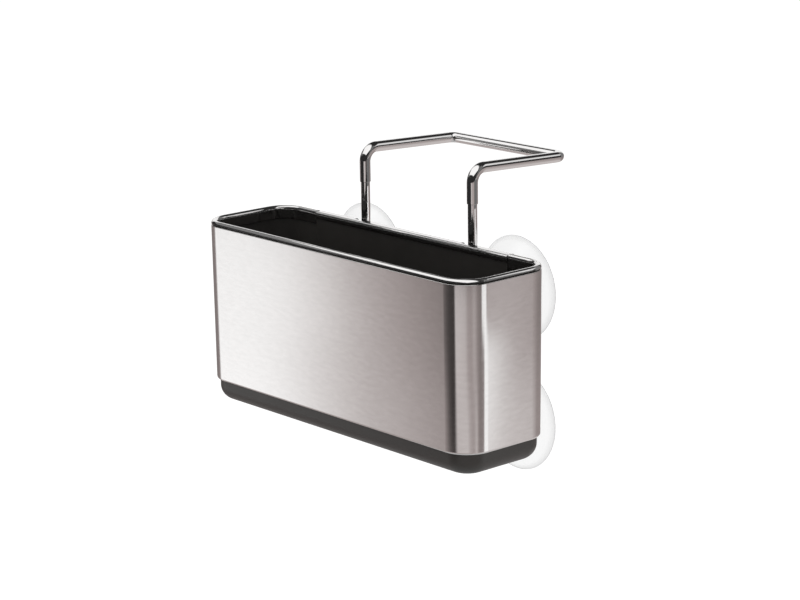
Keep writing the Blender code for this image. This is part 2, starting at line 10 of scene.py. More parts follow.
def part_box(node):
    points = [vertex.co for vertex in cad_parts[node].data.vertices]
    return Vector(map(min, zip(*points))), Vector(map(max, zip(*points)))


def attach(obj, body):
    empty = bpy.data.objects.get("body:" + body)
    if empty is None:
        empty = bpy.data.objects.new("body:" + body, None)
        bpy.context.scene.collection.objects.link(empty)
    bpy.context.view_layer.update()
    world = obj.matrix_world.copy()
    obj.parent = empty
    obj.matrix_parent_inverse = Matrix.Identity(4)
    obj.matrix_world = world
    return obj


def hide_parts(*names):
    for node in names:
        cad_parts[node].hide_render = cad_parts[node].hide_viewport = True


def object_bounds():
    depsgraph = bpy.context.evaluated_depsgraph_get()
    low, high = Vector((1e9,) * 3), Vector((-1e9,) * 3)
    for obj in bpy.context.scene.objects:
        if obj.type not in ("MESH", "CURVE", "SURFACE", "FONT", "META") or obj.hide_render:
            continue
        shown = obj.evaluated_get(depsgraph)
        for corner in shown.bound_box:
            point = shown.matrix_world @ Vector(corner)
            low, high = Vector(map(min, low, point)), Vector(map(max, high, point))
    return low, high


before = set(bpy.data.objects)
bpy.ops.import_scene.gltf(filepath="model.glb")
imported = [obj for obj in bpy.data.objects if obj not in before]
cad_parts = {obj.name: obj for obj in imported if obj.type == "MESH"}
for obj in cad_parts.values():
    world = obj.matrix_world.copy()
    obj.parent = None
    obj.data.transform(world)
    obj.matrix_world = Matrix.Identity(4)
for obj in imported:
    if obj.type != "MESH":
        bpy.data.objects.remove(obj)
CAD_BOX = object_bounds()

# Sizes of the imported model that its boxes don't give, in metres
CORNER_RADIUS = 0.0178
SHEET = 0.0006
GAP = 0.0003
BIN_TAPER = 0.0006
HEM_RADIUS = 0.0018
BASE_EDGE_RADIUS = 0.009
BIN_WALL = 0.002
PANEL_THICKNESS = 0.0008
PANEL_SKIRT = 0.02
RIM_CREST = 0.003
RIM_WIDTH = 0.0042
RIM_SKIRT_DEPTH = 0.005
RAIL_BEND_RADIUS = 0.002
RAIL_INNER_DEPTH = 0.0042
NOTCH_WIDTH = 0.008
NOTCH_CLEARANCE = 0.0025
SLOT_COUNT = 9
SLOT_PITCH = 0.019
SLOT_LENGTH = 0.024
SLOT_WIDTH = 0.003
CUT_OVERRUN = 0.004

# The rim's set-back foot, which only the drawn rim has
RIM_FOOT_INSET = 0.0008
RIM_FOOT_HEIGHT = 0.0005

# The wire
ARM_RADIUS = 0.0033
LEG_RADIUS = 0.0028
ARM_HEIGHT = 0.1107
ARM_TILT = math.radians(2.2)
LEG_BEND_RADIUS = 0.0085
CORNER_BEND_RADIUS = 0.005
SHOULDER_BELOW_ARM = 0.0208
SHOULDER_CHAMFER = 0.0003
WIRE_END_CHAMFER = 0.0006

# The suction cups and rivets
CUP_LIP_WIDTH = 0.0016
CUP_LIP_THICKNESS = 0.0009
CUP_DISH_DEPTH = 0.008
CUP_COLLAR_RADIUS = 0.007
CUP_NECK_RADIUS = 0.0035
CUP_HEAD_RADIUS = 0.006
CUP_HEAD_THICKNESS = 0.0036
CUP_HEAD_CHAMFER = 0.0014
CUP_SOCKET_WALL = 0.0024
# Distance from the cups' lip at which the painted shade along it has faded out
CUP_LIP_SHADE_EDGE = 0.0045
RIVET_SHANK_RADIUS = 0.0016
RIVET_HEAD_HEIGHT = 0.0014

# Fineness of the drawn surfaces
CORNER_STEPS = 28
ARC_STEPS = 14
CROWN_STEPS = 26
BEND_STEPS = 26
WIRE_SIDES = 48
HALF_ROUND_STEPS = 8
LIP_STEPS = 5
HEAD_EDGE_STEPS = 6
CUP_SEGMENTS = 112
CUP_RINGS = 30
RIVET_SEGMENTS = 40
SHARP_ANGLE = math.radians(30)
PLATE_SHARP_ANGLE = math.radians(12)
MERGE_DISTANCE = 1e-6
FLAT_ANGLE = math.radians(1)
BEVEL_ANGLE = math.radians(50)
BEVEL_SEGMENTS = 2

SLEEVE_LOW, SLEEVE_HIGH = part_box("sleeve")
BIN_LOW, BIN_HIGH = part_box("inner_bin")
RAIL_LOW, RAIL_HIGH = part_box("hook_rail")
WIRE_LOW, WIRE_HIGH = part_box("wire_support")


# Finishes

# Noise scales are per metre, for each direction of the coordinates
LINE_DETAIL = 5.0
LINE_CONTRAST = 0.62
# How much longer and wider the long lines of metal are than its fine ones
LONG_LINE_LENGTH = 20
LONG_LINE_WIDTH = 5
FINE_LINE_SHARE = 0.93
METAL_CLOUDS = (14.0, 22.0, 1.0)
METAL_GRAIN_SHARE = 0.7
METAL_GRAIN_DEPTH = 0.00002
QUARTER_TURN = 0.25
PLASTIC_GRAIN = (2600.0, 2600.0, 2600.0)
PLASTIC_CLOUDS = (34.0, 34.0, 20.0)
PLASTIC_SCUFFS = (60.0, 900.0, 1400.0)
SCUFF_CONTRAST = 0.75
PLASTIC_CLOUD_SHARE = 0.55
PLASTIC_GRAIN_DEPTH = 0.00004
VINYL_RIPPLES = (120.0, 120.0, 120.0)
VINYL_HAZE = (40.0, 40.0, 40.0)
VINYL_HAZE_SHARE = 0.2
VINYL_CLEAR = (0.87, 0.87, 0.87)
# Grey of the painted shade along the cups' lip
VINYL_LIP_SHADE = (0.68, 0.68, 0.68)
VINYL_ROUGHNESS = (0.14, 0.22)
VINYL_INDEX = 1.2
VINYL_RIPPLE_DEPTH = 0.0002
# Painted shade along the cups' lip is full up to this distance from it
LIP_SHADE_START = 0.0005


def new_material(name):
    material = bpy.data.materials.new(name)
    material.use_nodes = True
    return material, material.node_tree, material.node_tree.nodes["Principled BSDF"]


def add_node(tree, kind, **settings):
    node = tree.nodes.new(kind)
    for key, value in settings.items():
        setattr(node, key, value)
    return node


def stretched_noise(tree, source, scale, detail, roughness=0.6):
    """Noise whose grain is stretched by a scale for each direction of its coordinates."""
    mapping = add_node(tree, "ShaderNodeMapping")
    mapping.inputs["Scale"].default_value = scale
    tree.links.new(source, mapping.inputs["Vector"])
    noise = add_node(tree, "ShaderNodeTexNoise")
    noise.inputs["Scale"].default_value = 1.0
    noise.inputs["Detail"].default_value = detail
    noise.inputs["Roughness"].default_value = roughness
    tree.links.new(mapping.outputs["Vector"], noise.inputs["Vector"])
    return noise.outputs["Fac"]


def mapped(tree, source, low, high, from_low=0.3, from_high=0.7):
    remap = add_node(tree, "ShaderNodeMapRange")
    remap.inputs["From Min"].default_value = from_low
    remap.inputs["From Max"].default_value = from_high
    remap.inputs["To Min"].default_value = low
    remap.inputs["To Max"].default_value = high
    tree.links.new(source, remap.inputs["Value"])
    return remap.outputs["Result"]


def combined(tree, operation, first, second):
    node = add_node(tree, "ShaderNodeMath", operation=operation)
    for socket, value in zip(node.inputs, (first, second)):
        if isinstance(value, float):
            socket.default_value = value
        else:
            tree.links.new(value, socket)
    return node.outputs[0]


def weighted(tree, first, second, share):
    """Share of the first value and the rest of the second."""
    return combined(
        tree, "ADD", combined(tree, "MULTIPLY", first, share), combined(tree, "MULTIPLY", second, 1.0 - share)
    )


def blended_colour(tree, share, first, second):
    mix = add_node(tree, "ShaderNodeMix", data_type="RGBA")
    mix.inputs["A"].default_value = (*first, 1.0)
    mix.inputs["B"].default_value = (*second, 1.0)
    tree.links.new(share, mix.inputs["Factor"])
    return mix.outputs["Result"]


def add_bump(tree, shader, height, strength, distance):
    bump = add_node(tree, "ShaderNodeBump")
    bump.inputs["Strength"].default_value = strength
    bump.inputs["Distance"].default_value = distance
    tree.links.new(height, bump.inputs["Height"])
    tree.links.new(bump.outputs["Normal"], shader.inputs["Normal"])


def metal(name, colour, worn_colour, roughness, anisotropy, line_scale, bump_strength):
    """Stainless steel whose lines follow the first direction of the surface coordinates."""
    material, tree, shader = new_material(name)
    surface = add_node(tree, "ShaderNodeUVMap", uv_map="finish").outputs["UV"]
    lines = stretched_noise(tree, surface, line_scale, LINE_DETAIL, LINE_CONTRAST)
    long_scale = (line_scale[0] / LONG_LINE_LENGTH, line_scale[1] / LONG_LINE_WIDTH, 1.0)
    long_lines = stretched_noise(tree, surface, long_scale, 3.0)
    clouds = stretched_noise(tree, surface, METAL_CLOUDS, 4.0)
    grain = weighted(tree, lines, long_lines, FINE_LINE_SHARE)
    shade = weighted(tree, grain, clouds, METAL_GRAIN_SHARE)
    tree.links.new(
        blended_colour(tree, mapped(tree, shade, 0.0, 1.0), worn_colour, colour), shader.inputs["Base Color"]
    )
    tree.links.new(mapped(tree, shade, *roughness), shader.inputs["Roughness"])
    shader.inputs["Metallic"].default_value = 1.0
    shader.inputs["Anisotropic"].default_value = anisotropy
    shader.inputs["Anisotropic Rotation"].default_value = QUARTER_TURN
    tangent = add_node(tree, "ShaderNodeTangent", direction_type="UV_MAP", uv_map="finish")
    tree.links.new(tangent.outputs["Tangent"], shader.inputs["Tangent"])
    add_bump(tree, shader, grain, bump_strength, METAL_GRAIN_DEPTH)
    return material


def moulded_plastic(name, colour, light_colour, roughness):
    """Dark moulded plastic with a fine grain, faint scuffs and flow marks."""
    material, tree, shader = new_material(name)
    place = add_node(tree, "ShaderNodeTexCoord").outputs["Object"]
    grain = stretched_noise(tree, place, PLASTIC_GRAIN, 2.0)
    clouds = stretched_noise(tree, place, PLASTIC_CLOUDS, 5.0)
    scuffs = stretched_noise(tree, place, PLASTIC_SCUFFS, 3.0, SCUFF_CONTRAST)
    mixed = weighted(tree, clouds, scuffs, PLASTIC_CLOUD_SHARE)
    tree.links.new(
        blended_colour(tree, mapped(tree, mixed, 0.0, 1.0), colour, light_colour), shader.inputs["Base Color"]
    )
    tree.links.new(mapped(tree, mixed, *roughness), shader.inputs["Roughness"])
    shader.inputs["Specular IOR Level"].default_value = 0.5
    add_bump(tree, shader, combined(tree, "ADD", grain, scuffs), 0.12, PLASTIC_GRAIN_DEPTH)
    return material


def clear_vinyl(name, lip_place):
    """Clear soft plastic, faintly milky, with fine ripples, and painted shade near the lip's place on the profile
    for the dark line along the cup's edge.
    """
    material, tree, shader = new_material(name)
    place = add_node(tree, "ShaderNodeTexCoord").outputs["Object"]
    ripples = stretched_noise(tree, place, VINYL_RIPPLES, 3.0)
    haze = stretched_noise(tree, place, VINYL_HAZE, 4.0)
    tree.links.new(mapped(tree, haze, *VINYL_ROUGHNESS), shader.inputs["Roughness"])
    along_profile = add_node(tree, "ShaderNodeSeparateXYZ")
    surface = add_node(tree, "ShaderNodeUVMap", uv_map="finish").outputs["UV"]
    tree.links.new(surface, along_profile.inputs["Vector"])
    from_lip = combined(tree, "ABSOLUTE", combined(tree, "SUBTRACT", along_profile.outputs["Y"], lip_place), 0.0)
    # Painted shade: the colour turns grey near the lip for the dark line along the cup's edge, and is mixed below
    # with the milky haze
    lip_shade = mapped(tree, from_lip, 1.0, 0.0, LIP_SHADE_START, CUP_LIP_SHADE_EDGE)
    grey = weighted(tree, haze, lip_shade, VINYL_HAZE_SHARE)
    tree.links.new(blended_colour(tree, grey, VINYL_CLEAR, VINYL_LIP_SHADE), shader.inputs["Base Color"])
    shader.inputs["Transmission Weight"].default_value = 1.0
    shader.inputs["IOR"].default_value = VINYL_INDEX
    add_bump(tree, shader, ripples, 0.04, VINYL_RIPPLE_DEPTH)
    return material


# Mesh building

def finish_piece(name, edit, material, body, replaced):
    """Turn an edited mesh into a piece that rides on a body and stands for its node."""
    bmesh.ops.recalc_face_normals(edit, faces=edit.faces)
    mesh = bpy.data.meshes.new(name)
    edit.to_mesh(mesh)
    edit.free()
    mesh.materials.append(material)
    mesh.shade_smooth()
    mesh.set_sharp_from_angle(angle=SHARP_ANGLE)
    piece = bpy.data.objects.new(name, mesh)
    bpy.context.scene.collection.objects.link(piece)
    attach(piece, body)
    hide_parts(replaced)
    return piece


def grid_mesh(rows, columns_close, rows_close, cap_ends):
    """Mesh over rows of points, with surface coordinates in metres along rows and columns."""
    edit = bmesh.new()
    layer = edit.loops.layers.uv.new("finish")
    row_count = len(rows)
    column_count = len(rows[0])
    verts = [[edit.verts.new(point) for point in row] for row in rows]
    along = [0.0]
    middle = column_count // 2
    for index in range(row_count):
        here, following = rows[index][middle], rows[(index + 1) % row_count][middle]
        along.append(along[-1] + (Vector(following) - Vector(here)).length)
    across = [0.0]
    for index in range(column_count):
        here, following = rows[0][index], rows[0][(index + 1) % column_count]
        across.append(across[-1] + (Vector(following) - Vector(here)).length)
    for i in range(row_count if rows_close else row_count - 1):
        for j in range(column_count if columns_close else column_count - 1):
            corners = ((i, j), (i, j + 1), (i + 1, j + 1), (i + 1, j))
            face = edit.faces.new([verts[a % row_count][b % column_count] for a, b in corners])
            for loop, (a, b) in zip(face.loops, corners):
                loop[layer].uv = (along[a], across[b])
    if cap_ends == "rows":
        for row, index in ((verts[0], 0), (verts[-1], row_count - 1)):
            face = edit.faces.new(row)
            for loop, place in zip(face.loops, across):
                loop[layer].uv = (along[index], place)
    if cap_ends == "columns":
        for column in (0, column_count - 1):
            face = edit.faces.new([row[column] for row in verts])
            for loop in face.loops:
                loop[layer].uv = (loop.vert.co.x, loop.vert.co.y)
    return edit


def arc(centre, radius, start, end, steps=ARC_STEPS):
    """Points on an arc in a plane, with angles in degrees."""
    angles = [math.radians(start + (end - start) * step / steps) for step in range(steps + 1)]
    return [(centre[0] + radius * math.cos(a), centre[1] + radius * math.sin(a)) for a in angles]


def outline_stations(gap_at_back=0.0):
    """Places round the bin, from the back's middle over the left end, as a centre and an angle."""
    centre_x = SLEEVE_HIGH.x - CORNER_RADIUS
    back_y = SLEEVE_HIGH.y - CORNER_RADIUS
    front_y = SLEEVE_LOW.y + CORNER_RADIUS
    corners = ((-centre_x, back_y, 90), (-centre_x, front_y, 180), (centre_x, front_y, 270), (centre_x, back_y, 0))
    stations = [(-gap_at_back, back_y, 90.0)]
    for x, y, start in corners:
        stations += [(x, y, start + 90 * step / CORNER_STEPS) for step in range(CORNER_STEPS + 1)]
    if gap_at_back:
        stations.append((gap_at_back, back_y, 90.0))
    return stations


def round_bin(profile, stations):
    """Rows of points that carry a profile of inset and height pairs round the bin."""
    rows = []
    for x, y, angle in stations:
        out_x, out_y = math.cos(math.radians(angle)), math.sin(math.radians(angle))
        rows.append([
            (x + (CORNER_RADIUS - inset) * out_x, y + (CORNER_RADIUS - inset) * out_y, height)
            for inset, height in profile
        ])
    return rows


def turned(profile, centre, segments):
    """Rows of points that turn a profile of radius and depth pairs about Y."""
    rows = []
    for step in range(segments):
        angle = 2 * math.pi * step / segments
        rows.append([
            (centre[0] + radius * math.cos(angle), depth, centre[1] + radius * math.sin(angle))
            for radius, depth in profile
        ])
    return rows


def turned_mesh(profile, centre, segments):
    """Turn a profile about Y and close it with a point at each end."""
    edit = grid_mesh(turned(profile[1:-1], centre, segments), False, True, None)
    edit.verts.ensure_lookup_table()
    layer = edit.loops.layers.uv.active
    inner_count = len(profile) - 2
    for column, (_, depth) in ((0, profile[0]), (inner_count - 1, profile[-1])):
        pole = edit.verts.new((centre[0], depth, centre[1]))
        edit.verts.ensure_lookup_table()
        ring = [edit.verts[step * inner_count + column] for step in range(segments)]
        for step in range(segments):
            face = edit.faces.new((ring[step], ring[(step + 1) % segments], pole))
            for loop in face.loops:
                loop[layer].uv = (loop.vert.co.x, loop.vert.co.z)
    return edit


def box_cutter(low, high):
    edit = bmesh.new()
    bmesh.ops.create_cube(edit, size=1.0)
    for vert in edit.verts:
        vert.co = [low[k] if vert.co[k] < 0 else high[k] for k in range(3)]
    return cutter_object(edit)


def cutter_object(edit):
    bmesh.ops.recalc_face_normals(edit, faces=edit.faces)
    mesh = bpy.data.meshes.new("cutter")
    edit.to_mesh(mesh)
    edit.free()
    cutter = bpy.data.objects.new("cutter", mesh)
    bpy.context.scene.collection.objects.link(cutter)
    return cutter


def apply_boolean(piece, tool, operation):
    """Apply a Boolean at once and remove its tool."""
    modifier = piece.modifiers.new(operation.title(), "BOOLEAN")
    modifier.operation = operation
    modifier.solver = "EXACT"
    modifier.object = tool
    apply_modifiers(piece)
    bpy.data.objects.remove(tool, do_unlink=True)


def apply_modifiers(piece):
    """Keep the evaluated mesh as the piece's own mesh."""
    bpy.context.view_layer.update()
    evaluated = piece.evaluated_get(bpy.context.evaluated_depsgraph_get())
    mesh = bpy.data.meshes.new_from_object(evaluated)
    piece.modifiers.clear()
    piece.data = mesh
    mesh.shade_smooth()
    mesh.set_sharp_from_angle(angle=SHARP_ANGLE)


def wall_inset(height):
    """How far the sleeve's outer face leans in at a height."""
    return BIN_TAPER * (SLEEVE_HIGH.z - height) / (SLEEVE_HIGH.z - SLEEVE_LOW.z)


# Pieces of the bin

def make_sleeve(material):
    hem = (wall_inset(SLEEVE_LOW.z) + HEM_RADIUS, SLEEVE_LOW.z + HEM_RADIUS)
    edge = SHEET / 2
    profile = arc((edge, SLEEVE_HIGH.z - edge), edge, 0, 180, HALF_ROUND_STEPS)
    profile += arc(hem, HEM_RADIUS, 180, 270)
    profile += arc(hem, HEM_RADIUS - SHEET, 270, 180)
    edit = grid_mesh(round_bin(profile, outline_stations()), True, True, None)
    return finish_piece("sleeve_sheet", edit, material, "bin", "sleeve")


def make_inner_bin(material):
    """Moulded bin with its floor, drain slots and the thicker panel behind the rail."""
    base_z = BIN_LOW.z
    base_inset = wall_inset(SLEEVE_LOW.z) + HEM_RADIUS + GAP
    edge_centre = (base_inset + BASE_EDGE_RADIUS, base_z + BASE_EDGE_RADIUS)
    hem_top = SLEEVE_LOW.z + HEM_RADIUS
    lining = SHEET + GAP
    lip = BIN_WALL / 4
    profile = arc(edge_centre, BASE_EDGE_RADIUS, 270, 180)
    profile += [(base_inset, SLEEVE_LOW.z + SHEET + GAP), (wall_inset(hem_top) + lining, hem_top)]
    profile += arc((lining + lip, BIN_HIGH.z - lip), lip, 180, 90, LIP_STEPS)
    profile += arc((lining + BIN_WALL - lip, BIN_HIGH.z - lip), lip, 90, 0, LIP_STEPS)
    step_z = hem_top + BIN_WALL
    profile += [(wall_inset(step_z) + lining + BIN_WALL, step_z), (base_inset + BIN_WALL, SLEEVE_LOW.z)]
    profile += arc(edge_centre, BASE_EDGE_RADIUS - BIN_WALL, 180, 270)
    edit = grid_mesh(round_bin(profile, outline_stations()), False, True, "columns")
    piece = finish_piece("moulded_bin", edit, material, "bin", "inner_bin")

    wall_face_y = SLEEVE_HIGH.y - lining - BIN_WALL
    panel_bottom = SLEEVE_LOW.z + PANEL_SKIRT
    panel_face_y = wall_face_y - wall_inset(panel_bottom) - PANEL_THICKNESS
    panel = box_cutter(
        (RAIL_LOW.x, panel_face_y, panel_bottom), (RAIL_HIGH.x, wall_face_y + BIN_WALL / 2, SLEEVE_HIGH.z)
    )
    apply_boolean(piece, panel, "UNION")
    middle_y = (SLEEVE_LOW.y + SLEEVE_HIGH.y) / 2
    half_run = (SLOT_LENGTH - SLOT_WIDTH) / 2
    slots = bmesh.new()
    for index in range(SLOT_COUNT):
        x = (index - (SLOT_COUNT - 1) / 2) * SLOT_PITCH
        ends = arc((x, middle_y + half_run), SLOT_WIDTH / 2, 0, 180)
        ends += arc((x, middle_y - half_run), SLOT_WIDTH / 2, 180, 360)
        rings = []
        for height in (base_z - CUT_OVERRUN, base_z + BIN_WALL + CUT_OVERRUN):
            rings.append([slots.verts.new((a, b, height)) for a, b in ends])
        for step in range(len(ends)):
            following = (step + 1) % len(ends)
            slots.faces.new((rings[0][step], rings[0][following], rings[1][following], rings[1][step]))
        slots.faces.new(rings[0])
        slots.faces.new(rings[1])
    apply_boolean(piece, cutter_object(slots), "DIFFERENCE")
    return piece


def make_rim(material):
    """Round-topped rim with its set-back foot and inner skirt, from one end of the rail to the other."""
    underside_z = SLEEVE_HIGH.z + GAP
    crown_height = RIM_CREST - GAP
    half_width = RIM_WIDTH / 2
    foot_angle = math.asin(RIM_FOOT_HEIGHT / crown_height)
    crown = [(RIM_FOOT_INSET, underside_z)]
    for step in range(CROWN_STEPS + 1):
        angle = (math.pi - foot_angle) * (1 - step / CROWN_STEPS)
        crown.append((half_width * (1 + math.cos(angle)), underside_z + crown_height * math.sin(angle)))
    skirt_bottom = SLEEVE_HIGH.z - RIM_SKIRT_DEPTH
    skirt_outer = SHEET + 2 * GAP + BIN_WALL
    skirt = [
        (RIM_WIDTH, skirt_bottom),
        (skirt_outer + wall_inset(skirt_bottom), skirt_bottom),
        (skirt_outer, underside_z),
    ]
    stations = outline_stations(RAIL_HIGH.x + GAP)
    edit = grid_mesh(round_bin(crown + skirt, stations), True, False, "rows")
    return finish_piece("rim_bead", edit, material, "bin", "rim_trim")


def make_rail(material):
    """Folded rail that hooks over the plate, with notches for the wire."""
    radius = RAIL_BEND_RADIUS
    inside = radius - SHEET
    back = (RAIL_HIGH.y - radius, RAIL_HIGH.z - radius)
    front = (RAIL_LOW.y + radius, RAIL_HIGH.z - radius)
    inner_end_z = RAIL_HIGH.z - RAIL_INNER_DEPTH
    half = SHEET / 2
    section = arc((RAIL_HIGH.y - half, RAIL_LOW.z + half), half, -180, 0, HALF_ROUND_STEPS)
    section += arc(back, radius, 0, 90)
    section += arc(front, radius, 90, 180)
    section += arc((RAIL_LOW.y + half, inner_end_z + half), half, 180, 360, HALF_ROUND_STEPS)
    section += arc(front, inside, 180, 90)
    section += arc(back, inside, 90, 0)
    rows = [[(x, y, z) for y, z in section] for x in (RAIL_LOW.x, RAIL_HIGH.x)]
    edit = grid_mesh(rows, True, False, "rows")
    rail = finish_piece("folded_rail", edit, material, "bin", "hook_rail")
    leg_x = WIRE_HIGH.x - ARM_RADIUS
    for side in (-1, 1):
        x = side * leg_x
        low = (x - NOTCH_WIDTH / 2, WIRE_LOW.y - NOTCH_CLEARANCE, RAIL_LOW.z - CUT_OVERRUN)
        high = (x + NOTCH_WIDTH / 2, WIRE_LOW.y + CUT_OVERRUN, RAIL_HIGH.z + CUT_OVERRUN)
        apply_boolean(rail, box_cutter(low, high), "DIFFERENCE")
    return rail


# Pieces of the wire

def rounded_corner(before, corner, after, radius):
    """Points that round a corner of a path."""
    to_before = (before - corner).normalized()
    to_after = (after - corner).normalized()
    half_angle = to_before.angle(to_after) / 2
    reach = radius / math.tan(half_angle)
    middle = corner + (to_before + to_after).normalized() * radius / math.sin(half_angle)
    start = corner + to_before * reach - middle
    end = corner + to_after * reach - middle
    turn = start.angle(end)
    points = []
    for step in range(BEND_STEPS + 1):
        share = step / BEND_STEPS
        mix = start * math.sin((1 - share) * turn) + end * math.sin(share * turn)
        points.append(middle + mix / math.sin(turn))
    return points


def wire_path():
    """The wire's line from one leg's end to the other, with its radius at each point."""
    leg_x = WIRE_HIGH.x - ARM_RADIUS
    leg_y = WIRE_LOW.y + ARM_RADIUS
    reach_y = WIRE_HIGH.y - ARM_RADIUS - leg_y
    foot = Vector((leg_x, leg_y, WIRE_LOW.z))
    bend = Vector((leg_x, leg_y, ARM_HEIGHT))
    corner = Vector((leg_x, leg_y + reach_y, ARM_HEIGHT - reach_y * math.tan(ARM_TILT)))
    middle = Vector((0, corner.y, corner.z))
    up = Vector((0, 0, 1))
    shoulder = Vector((leg_x, leg_y, ARM_HEIGHT - SHOULDER_BELOW_ARM))
    half = [
        (foot, LEG_RADIUS - WIRE_END_CHAMFER),
        (foot + up * WIRE_END_CHAMFER, LEG_RADIUS),
        (shoulder - up * SHOULDER_CHAMFER, LEG_RADIUS),
        (shoulder, ARM_RADIUS),
    ]
    half += [(point, ARM_RADIUS) for point in rounded_corner(foot, bend, corner, LEG_BEND_RADIUS)]
    half += [(point, ARM_RADIUS) for point in rounded_corner(bend, corner, middle, CORNER_BEND_RADIUS)]
    return half + [(Vector((-p.x, p.y, p.z)), radius) for p, radius in reversed(half)]


def make_wire(material):
    """Round rod along the wire's path, with rings square to it."""
    path = wire_path()
    points = [point for point, _ in path]
    side = Vector((1, 0, 0))
    rows = []
    for index, (point, radius) in enumerate(path):
        before = points[max(index - 1, 0)]
        after = points[min(index + 1, len(points) - 1)]
        forward = (after - before).normalized()
        side = (side - forward * side.dot(forward)).normalized()
        beside = forward.cross(side)
        row = []
        for step in range(WIRE_SIDES):
            angle = 2 * math.pi * step / WIRE_SIDES
            row.append(point + side * radius * math.cos(angle) + beside * radius * math.sin(angle))
        rows.append(row)
    edit = grid_mesh(rows, True, False, "rows")
    return finish_piece("bent_wire", edit, material, "support", "wire_support")


# Pieces of the hanger

def cup_profile(low, high):
    """From the dish's middle over the rim and the bell's back to the head's end, as radius and depth."""
    radius = (high.x - low.x) / 2
    head_end = low.y
    bell = -head_end - CUP_HEAD_THICKNESS - CUP_SOCKET_WALL - 2 * GAP
    lip_inner = radius - CUP_LIP_WIDTH
    points = []
    for step in range(CUP_RINGS + 1):
        r = lip_inner * step / CUP_RINGS
        points.append((r, -CUP_DISH_DEPTH * (1 - (r / lip_inner) ** 2)))
    half = CUP_LIP_THICKNESS / 2
    points += arc((radius - half, -half), half, 90, -90, HALF_ROUND_STEPS)
    for step in range(1, CUP_RINGS + 1):
        r = radius - half + (CUP_COLLAR_RADIUS - radius + half) * step / CUP_RINGS
        rise = (radius**2 - r**2) / (radius**2 - CUP_COLLAR_RADIUS**2)
        points.append((r, -CUP_LIP_THICKNESS - (bell - CUP_LIP_THICKNESS) * rise))
    neck_end = -bell - CUP_SOCKET_WALL - 2 * GAP
    points += [(CUP_NECK_RADIUS, -bell), (CUP_NECK_RADIUS, neck_end), (CUP_HEAD_RADIUS, neck_end)]
    head_edge = (CUP_HEAD_RADIUS - CUP_HEAD_CHAMFER, head_end + CUP_HEAD_CHAMFER)
    points += arc(head_edge, CUP_HEAD_CHAMFER, 0, -90, HEAD_EDGE_STEPS)
    return points + [(0, head_end)]


def lip_distance():
    """Way along the cup's profile from its second point to its outermost point."""
    profile = cup_profile(*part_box("suction_cup_upper_left"))[1:-1]
    lip = max(range(len(profile)), key=lambda index: profile[index][0])
    return sum(math.dist(profile[index], profile[index + 1]) for index in range(lip))


def make_cups(material):
    for place in ("upper_left", "upper_right", "lower_left", "lower_right"):
        node = "suction_cup_" + place
        low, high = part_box(node)
        centre = ((low.x + high.x) / 2, (low.z + high.z) / 2)
        edit = turned_mesh(cup_profile(low, high), centre, CUP_SEGMENTS)
        finish_piece("clear_cup_" + place, edit, material, "hanger", node)


def make_rivets(material):
    for side in ("left", "right"):
        for number in (1, 2, 3):
            node = f"rivet_{side}_{number}"
            low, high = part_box(node)
            centre = ((low.x + high.x) / 2, (low.z + high.z) / 2)
            head_radius = (high.x - low.x) / 2
            head_y = high.y - RIVET_HEAD_HEIGHT
            edge = RIVET_SHANK_RADIUS / 8
            profile = [(0, low.y), (RIVET_SHANK_RADIUS - edge, low.y), (RIVET_SHANK_RADIUS, low.y + edge)]
            profile += [(RIVET_SHANK_RADIUS, head_y), (head_radius - edge, head_y)]
            for step in range(ARC_STEPS):
                angle = math.pi / 2 * step / ARC_STEPS
                depth = head_y + edge + (RIVET_HEAD_HEIGHT - edge) * math.sin(angle)
                profile.append((head_radius * math.cos(angle), depth))
            profile.append((0, high.y))
            edit = turned_mesh(profile, centre, RIVET_SEGMENTS)
            finish_piece(f"domed_rivet_{side}_{number}", edit, material, "hanger", node)


def refined_copy(name, node, material, body, edge_width):
    """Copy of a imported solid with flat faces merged, small rounded edges and surface coordinates."""
    edit = bmesh.new()
    edit.from_mesh(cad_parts[node].data)
    bmesh.ops.remove_doubles(edit, verts=edit.verts, dist=MERGE_DISTANCE)
    bmesh.ops.dissolve_limit(
        edit, angle_limit=FLAT_ANGLE, use_dissolve_boundaries=False, verts=edit.verts, edges=edit.edges
    )
    piece = finish_piece(name, edit, material, body, node)
    bevel = piece.modifiers.new("Edges", "BEVEL")
    bevel.width = edge_width
    bevel.segments = BEVEL_SEGMENTS
    bevel.limit_method = "ANGLE"
    bevel.angle_limit = BEVEL_ANGLE
    bevel.harden_normals = False
    apply_modifiers(piece)
    project_finish(piece.data)
    return piece


def project_finish(mesh):
    """Surface coordinates from the side that each face looks to."""
    for layer in list(mesh.uv_layers):
        mesh.uv_layers.remove(layer)
    layer = mesh.uv_layers.new(name="finish")
    for polygon in mesh.polygons:
        normal = [abs(value) for value in polygon.normal]
        for index in polygon.loop_indices:
            place = mesh.vertices[mesh.loops[index].vertex_index].co
            if normal[1] >= max(normal[0], normal[2]):
                layer.data[index].uv = (place.x, place.z)
            elif normal[2] >= normal[0]:
                layer.data[index].uv = (place.x, place.y)
            else:
                layer.data[index].uv = (place.y, place.z)


# Studio

RING_RADIUS = 0.8
RING_CENTRE = (0.0, -0.05, 0.0)
RING_STRENGTH = 1.8
RING_STEPS = 120
TABLE_BOTTOM = -0.9
# Height of the table's far edge on the ring, left and right of the object's near corner
HORIZON_LEFT = 0.04
HORIZON_RIGHT = 0.05
# Heights on the ring that the bin's upper and lower end mirror, and below them only the wire
TONE_LEVEL_HIGH = -0.12
TONE_LEVEL_LOW = -0.25
DEEP_LEVELS = (-0.36, -0.48)

